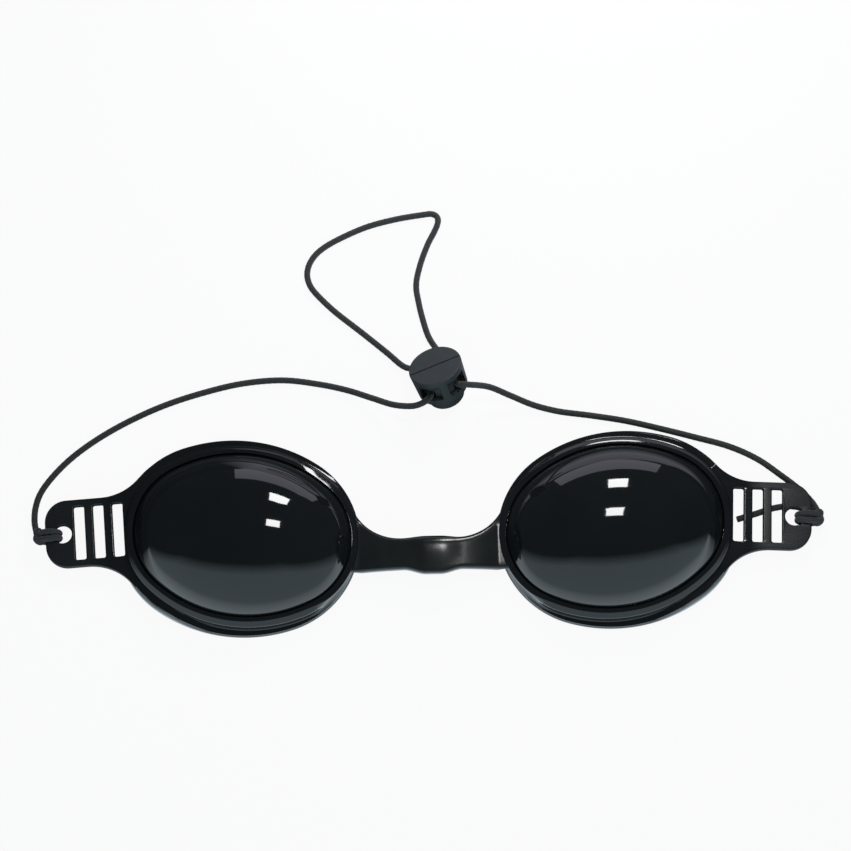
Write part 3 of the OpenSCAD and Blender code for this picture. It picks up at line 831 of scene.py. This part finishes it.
# Elastic cord: one length from knot to knot, threaded twice through the lock. Its points are (x, y) where it lies
# on the table and (x, y, height) elsewhere
cord = {
    "d": 1.4, "tableZ": 0.73, "yarns": 8, "lay": 2.6, "swell": 0.055, "under": 0.4, "level": 1.2,
    "sides": 24, "step": 0.2, "between": 24,
    "left": [(-89.2, 2.4, 2.4), (-89.7, 5, 1.7), (-89.6, 8.4, 0.9), (-88.4, 12), (-85.4, 16.1), (-81, 20.4),
             (-75, 24.7), (-68, 28.6), (-60, 32.1), (-51.4, 34.8), (-42.4, 36.8), (-33.2, 37.4), (-25, 36.3),
             (-18.2, 34.5, 1.3), (-12.4, 32, 2.8), (-7.4, 29.6, 5), (-3, 28.4, 7.6)],
    "loop": [(-4.6, 39.6, 1.7), (-8.6, 43.4), (-14.4, 48.5), (-20.6, 53.8), (-24.9, 58.3), (-26.5, 60.9),
             (-26.9, 63.6), (-26, 66.4), (-23.8, 69), (-19.8, 71.5), (-13, 74.5), (-6, 76.3), (0.6, 77.3),
             (2.6, 77.4), (3.8, 76.6), (3.9, 75.1), (3, 72.9), (1.4, 69.8), (-0.4, 65), (-1.5, 60), (-1, 55.4),
             (0, 50.7), (1.2, 46.8, 0.9), (3.2, 43.1, 2.3)],
    "right": [(14.6, 33, 6), (19.6, 31.6, 3.2), (25, 29.7, 1.4), (31, 28.2), (38, 27.1), (46, 25.6), (54, 23.5),
              (62, 21.2), (69.4, 18.9), (75.6, 15.8), (80.7, 11.9), (84.9, 8.3), (87.6, 5.1, 0.95), (88.8, 2.3, 1.9)],
    "tail": [(88.9, 2, 1.6), (87.6, 3.1, 0.85), (85.6, 3.8, 0.78), (82.4, 4.4), (78.6, 4), (74.6, 2.8), (70.3, 1.6)],
    "frontBend": [(0.0, 2.6), (0.0, -2.4), (0.6, -4.1), (2.2, -5.1)],     # outward from the strand, along the lock
}


def route(points):
    return [Vector((p[0], p[1], p[2] if len(p) > 2 else cord["tableZ"])) * mm for p in points]


def inLock(side, out, y):
    return lockFrame @ Vector((side * (lock["strandX"] + out), y, strandZ))


# Smooth curve through the given points, then even steps along it
def smoothPath(points, step):
    fine = []
    for i in range(len(points) - 1):
        a, b, c, d = points[max(i - 1, 0)], points[i], points[i + 1], points[min(i + 2, len(points) - 1)]
        for j in range(cord["between"]):
            t = j / cord["between"]
            fine.append(0.5 * (2 * b + (c - a) * t + (2 * a - 5 * b + 4 * c - d) * t * t
                               + (3 * b - a - 3 * c + d) * t ** 3))
    fine.append(points[-1])
    lengths = [0.0]
    for p, q in zip(fine, fine[1:]):
        lengths.append(lengths[-1] + (q - p).length)
    count = max(2, round(lengths[-1] / step))
    even, i = [], 0
    for n in range(count + 1):
        want = lengths[-1] * n / count
        while i < len(lengths) - 2 and lengths[i + 1] < want:
            i += 1
        share = (want - lengths[i]) / max(lengths[i + 1] - lengths[i], 1e-9)
        even.append(fine[i].lerp(fine[i + 1], min(share, 1)))
        even[-1].z = max(even[-1].z, (cord["tableZ"] + 0.01) * mm)
    return even


def pathLength(path):
    return sum((q - p).length for p, q in zip(path, path[1:]))


# Braided tube: yarns run round it both ways and pass over and under each other
def makeBraid(name, path, startLength=0.0):
    sidesCount, radius = cord["sides"], cord["d"] / 2 * mm
    forward = [(path[min(i + 1, len(path) - 1)] - path[max(i - 1, 0)]).normalized() for i in range(len(path))]
    across = forward[0].orthogonal().normalized()
    points, faces, uvs = [], [], []
    travelled = startLength
    for i, p in enumerate(path):
        if i:
            travelled += (p - path[i - 1]).length
        across = (across - forward[i] * across.dot(forward[i])).normalized()
        third = forward[i].cross(across)
        for k in range(sidesCount):
            angle = 2 * math.pi * k / sidesCount
            turn = 2 * math.pi * travelled / (cord["lay"] * mm)
            one = math.sin(cord["yarns"] / 2 * angle + turn)
            two = math.sin(cord["yarns"] / 2 * angle - turn)
            oneOnTop = one * two > 0
            bulge = max(abs(one) * (1 if oneOnTop else cord["under"]), abs(two) * (cord["under"] if oneOnTop else 1))
            r = radius * (1 + cord["swell"] * (2 * bulge - cord["level"]))
            points.append(p + (across * math.cos(angle) + third * math.sin(angle)) * r)
        uvs.append(travelled)
    for i in range(len(path) - 1):
        for k in range(sidesCount):
            a, b = i * sidesCount + k, i * sidesCount + (k + 1) % sidesCount
            faces.append((a, b, b + sidesCount, a + sidesCount))
    faces.append(tuple(range(sidesCount - 1, -1, -1)))
    faces.append(tuple((len(path) - 1) * sidesCount + k for k in range(sidesCount)))
    mesh = bpy.data.meshes.new(name)
    mesh.from_pydata(points, [], faces)
    piece = addObject(name, mesh)
    sheet = mesh.uv_layers.new(name="alongCord")
    for face in mesh.polygons:
        for corner, loop in enumerate(face.loop_indices):
            vertex = mesh.loops[loop].vertex_index
            around = (vertex % sidesCount) / sidesCount
            if corner in (1, 2) and around == 0 and len(face.vertices) == 4:
                around = 1.0
            sheet.data[loop].uv = (around, uvs[vertex // sidesCount])
    pickOnly(piece)
    bpy.ops.object.shade_smooth()
    dress(piece, "cord")
    return piece


step = cord["step"] * mm
front = cord["frontBend"]
leftPath = smoothPath(route(cord["left"]) + [inLock(-1, out, y) for out, y in reversed(front)], step)
loopPath = smoothPath([inLock(-1, 0, 2.6), inLock(-1, 0, 5.4)] + route(cord["loop"])
                      + [inLock(1, 0, 5.4), inLock(1, 0, 2.6)], step)
rightPath = smoothPath([inLock(1, out, y) for out, y in front] + route(cord["right"]), step)
tailPath = smoothPath(route(cord["tail"]), step)
parting = min(range(len(rightPath)), key=lambda i: abs(rightPath[i].x - 46 * mm))

cordLeft = makeBraid("cordLeft", leftPath)
cordLoop = makeBraid("cordLoop", loopPath)
cordRightNear = makeBraid("cordRightNear", rightPath[:parting + 1])
cordRightFar = makeBraid("cordRightFar", rightPath[parting:], pathLength(rightPath[:parting + 1]))
cordTail = makeBraid("cordTail", tailPath)

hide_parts("cord_left")
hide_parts("cord_loop")
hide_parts("cord_right")
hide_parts("cord_right")
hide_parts("cord_tail")
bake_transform(cordLeft)
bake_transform(cordLoop)
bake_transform(cordRightNear)
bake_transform(cordRightFar)
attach(cordTail, "right_cup")


# A knot at each tab: the doubled cord goes over the tip, down the hole and back beneath into a tight lump
knot = {"out": 1.35, "size": 0.62, "long": 0.9, "wide": 0.8, "flat": 0.85, "further": 0.2, "points": 90,
        "strands": (-0.95, 0.65), "clear": 0.03}


def makeKnot(name, side):
    place = tabFrame(side)
    x, z = tab["tip"] + knot["out"], tab["z"] + tab["t"] / 2 - 0.1
    over, under = tab["z"] + tab["t"] + cord["d"] / 2 + knot["clear"], tab["z"] - cord["d"] / 2 - knot["clear"]
    runs = []
    for y in knot["strands"]:
        run = [(x, y * 0.6, z + 0.8), (x - 0.7, y, over - 0.35), (tab["tip"] - 0.4, y, over), (2.6, y, over),
               (1.3, y * 0.8, over - 0.35), (0.75, y * 0.7, z), (1.3, y * 0.8, under + 0.35), (2.6, y, under),
               (tab["tip"] - 0.4, y, under), (x - 0.7, y, under + 0.35), (x, y * 0.6, z - 0.8)]
        runs.append(smoothPath([place @ Vector(p) for p in run], step))
    size = knot["size"]
    trefoil = []
    for i in range(knot["points"] + 1):
        t = 2 * math.pi * i / knot["points"]
        trefoil.append(place @ Vector((
            x + knot["further"] + size * knot["long"] * math.sin(3 * t),
            size * (math.sin(t) + 2 * math.sin(2 * t)) * knot["wide"],
            z + size * (math.cos(t) - 2 * math.cos(2 * t)) * knot["wide"] * knot["flat"])))
    runs.append(smoothPath(trefoil, step))
    pieces = [makeBraid(name if i == 0 else name + "Run", run) for i, run in enumerate(runs)]
    pickOnly(*pieces)
    bpy.ops.object.join()
    return pieces[0]


for word, side in sides.items():
    tie = makeKnot("knot" + word.capitalize(), side)
    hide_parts("knot_" + word)
    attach(tie, word + "_cup")

pathLength(leftPath)
pathLength(loopPath)
pathLength(rightPath[:parting + 1])
pathLength(rightPath[parting:])
knotToKnot = sum(pathLength(path) for path in (leftPath, loopPath, rightPath))
print("cord made:", round(knotToKnot / mm, 1), "mm from knot to knot")


# Floor and light
floorSettings = {
    "size": 6.0, "white": 0.9, "seen": 0.93, "through": 0.5,
    # the InGloss strengths and the two tones set the floor's painted reflection, an emission seen only by glossy rays
    "inGloss": 1.05, "nearInGloss": 1.05, "darkInGloss": 0.05, "backInGloss": 0.75,
    "sharp": 60.0, "slant": 0.07, "nearFrom": 0.03, "nearReach": 0.05,
    "backFrom": 0.028, "backLeft": 0.052, "backRight": 0.112,       # bounds of the field behind, in metres
    "frontTone": (0.8, 0.92, 1, 1), "backTone": (0.86, 0.84, 1, 1),
}
lampSettings = {
    "windowUpper": {"at": (0.0535, 0.182, 0.152), "size": (0.050, 0.046), "power": 0.16, "turn": 9.0},
    "windowLower": {"at": (0.050, 0.069, 0.250), "size": (0.045, 0.034), "power": 0.108, "turn": 30.0},
    "backPanel": {"at": (0.030, 0.160, 0.034), "size": (0.165, 0.050), "power": 0.034, "turn": 0.0,
                  "aim": (0.030, 0.0, 0.020), "color": (0.86, 0.84, 1.0)},
}


# White paper, evenly white where the camera sees it. For glossy rays it glows instead with a painted reflection:
# pale in front of the shells, violet in a field behind them and dark elsewhere
def paleSurface(name):
    made = Finish(name, Roughness=0.9, Specular_IOR_Level=0.0)
    made.shader.inputs["Base Color"].default_value = (floorSettings["white"],) * 3 + (1,)
    paths = made.tree.nodes.new("ShaderNodeLightPath")
    seen = Link(made.tree, paths.outputs["Is Camera Ray"])
    gloss = Link(made.tree, paths.outputs["Is Glossy Ray"])
    through = Link(made.tree, paths.outputs["Is Transmission Ray"])
    place = made.place()
    x, y = made.axis(place, "X"), made.axis(place, "Y")
    sharp = floorSettings["sharp"]
    front = ((y * -1.0 - x.maths("ABSOLUTE", x, 0.0) * floorSettings["slant"]) * sharp).clamped()
    near = (floorSettings["nearReach"] / (floorSettings["nearFrom"] - y)).clamped()
    behind = ((y - floorSettings["backFrom"]) * sharp).clamped()
    fromLeft = ((x + floorSettings["backLeft"]) * sharp).clamped()
    toRight = ((floorSettings["backRight"] - x) * sharp).clamped()
    back = behind * fromLeft * toRight
    # strength of the painted reflection: pale in front, brighter near the object, violet in the field behind, dark
    # elsewhere
    shade = front * (near * floorSettings["nearInGloss"] + floorSettings["inGloss"]) + floorSettings["darkInGloss"]
    shade = shade + back * floorSettings["backInGloss"]
    paintedReflectionTone = made.node("MixRGB", Fac=back, Color1=floorSettings["frontTone"], Color2=floorSettings["backTone"])
    # the painted reflection is emitted for glossy rays only; other rays see the paper's own diffuse shading
    paintedReflection = made.node("Emission", Color=paintedReflectionTone, Strength=gloss * shade)
    white = made.node("Emission", Color=(1, 1, 1, 1), Strength=1.0)
    paperWithPaintedReflection = made.mixed(gloss, Link(made.tree, made.shader.outputs[0]), paintedReflection)
    both = made.mixed(seen * floorSettings["seen"] + through * floorSettings["through"], paperWithPaintedReflection, white)
    made.tree.links.new(both.socket, made.tree.nodes["Material Output"].inputs[0])
    return made.material


bpy.ops.mesh.primitive_plane_add(size=floorSettings["size"], location=(0, 0, 0))
floor = newest("studioFloor")
floor.data.materials.append(paleSurface("studioPaper"))


def addLamp(name, at, size, power, turn, aim=(0, 0, 0), color=(1, 1, 1)):
    data = bpy.data.lights.new(name, "AREA")
    data.shape = "RECTANGLE"
    data.size, data.size_y = size
    data.energy = power
    data.color = color
    lamp = addObject(name, data)
    pointAt(lamp, at, aim, turn)
    lamp.visible_camera = False


for name, lamp in lampSettings.items():
    addLamp(name, **lamp)


# Room seen in the gloss: dark overhead, pale in front up to a slant
room = {"slant": 0.62, "from": 0.02, "sharp": 3.5, "front": 1.08, "dark": 0.08, "color": (0.74, 0.9, 1.0, 1)}


def makeRoom():
    world = bpy.data.worlds.new("studioRoom")
    bpy.context.scene.world = world
    world.use_nodes = True
    tree = world.node_tree
    parts = tree.nodes.new("ShaderNodeSeparateXYZ")
    tree.links.new(tree.nodes.new("ShaderNodeTexCoord").outputs["Generated"], parts.inputs[0])
    y, z = Link(tree, parts.outputs["Y"]), Link(tree, parts.outputs["Z"])
    front = ((y * -1.0 - z * room["slant"] - room["from"]) * room["sharp"]).clamped()
    strength = front * room["front"] + room["dark"]
    background = tree.nodes["Background"]
    background.inputs["Color"].default_value = room["color"]
    tree.links.new(strength.socket, background.inputs["Strength"])


makeRoom()
